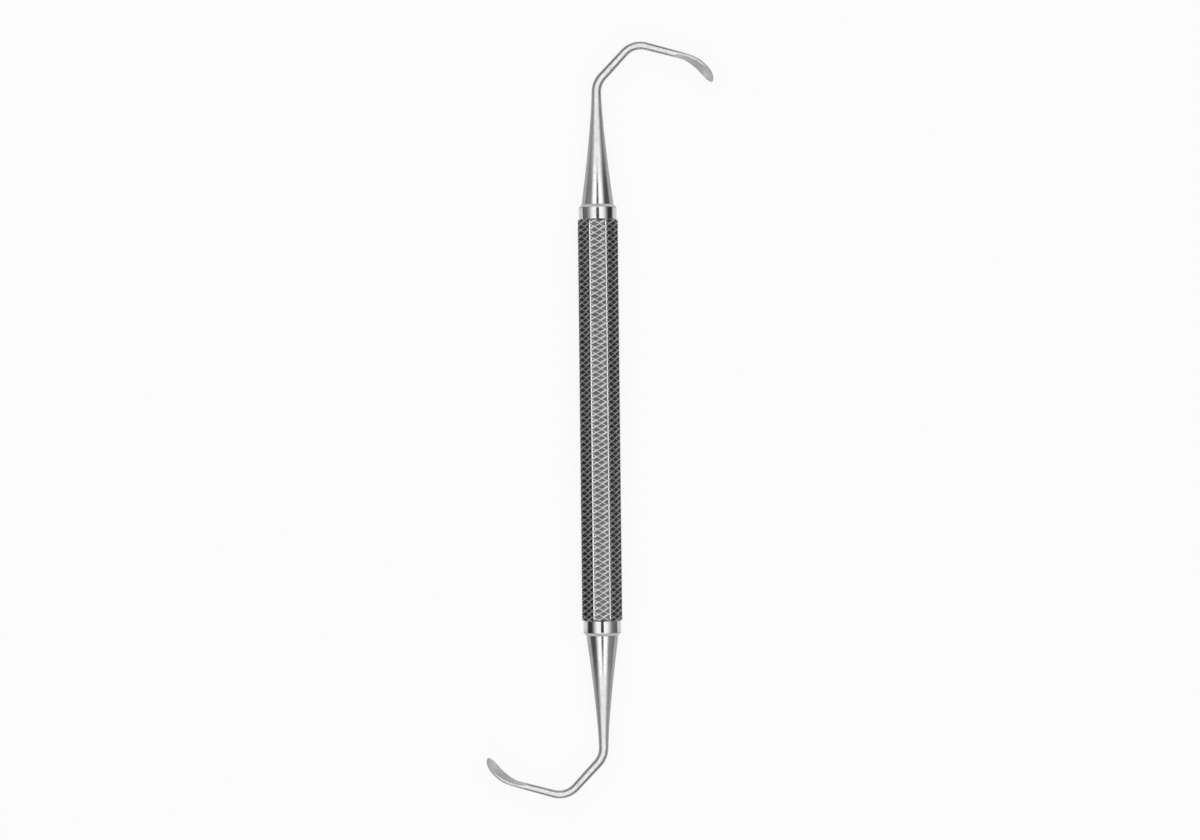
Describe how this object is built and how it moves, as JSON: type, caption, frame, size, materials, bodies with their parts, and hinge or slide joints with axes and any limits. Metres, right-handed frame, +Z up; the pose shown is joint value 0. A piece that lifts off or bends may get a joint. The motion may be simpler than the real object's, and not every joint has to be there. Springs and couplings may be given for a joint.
{
  "type": "sinus lift curette",
  "caption": "Hand instrument for lifting the sinus membrane: knurled octagonal handle, flared cones and slender bent shanks that end in ground, round-toed curette blades.",
  "frame": {"origin": "on the surface that the instrument lies on, under the middle of the handle", "axes": "+Y along the handle towards the upper working end, whose hook turns to +X; +Z up, square to the lower flat of the handle"},
  "size_m": [0.0516, 0.1666, 0.009],
  "materials": {
    "handle_steel": "satin, knurled on the flats",
    "working_end_steel": "polished, with matt ground blade faces"
  },
  "bodies": {
    "root": {"handle": "handle_steel", "working_end_upper": "working_end_steel", "working_end_lower": "working_end_steel"}
  },
  "joints": []
}
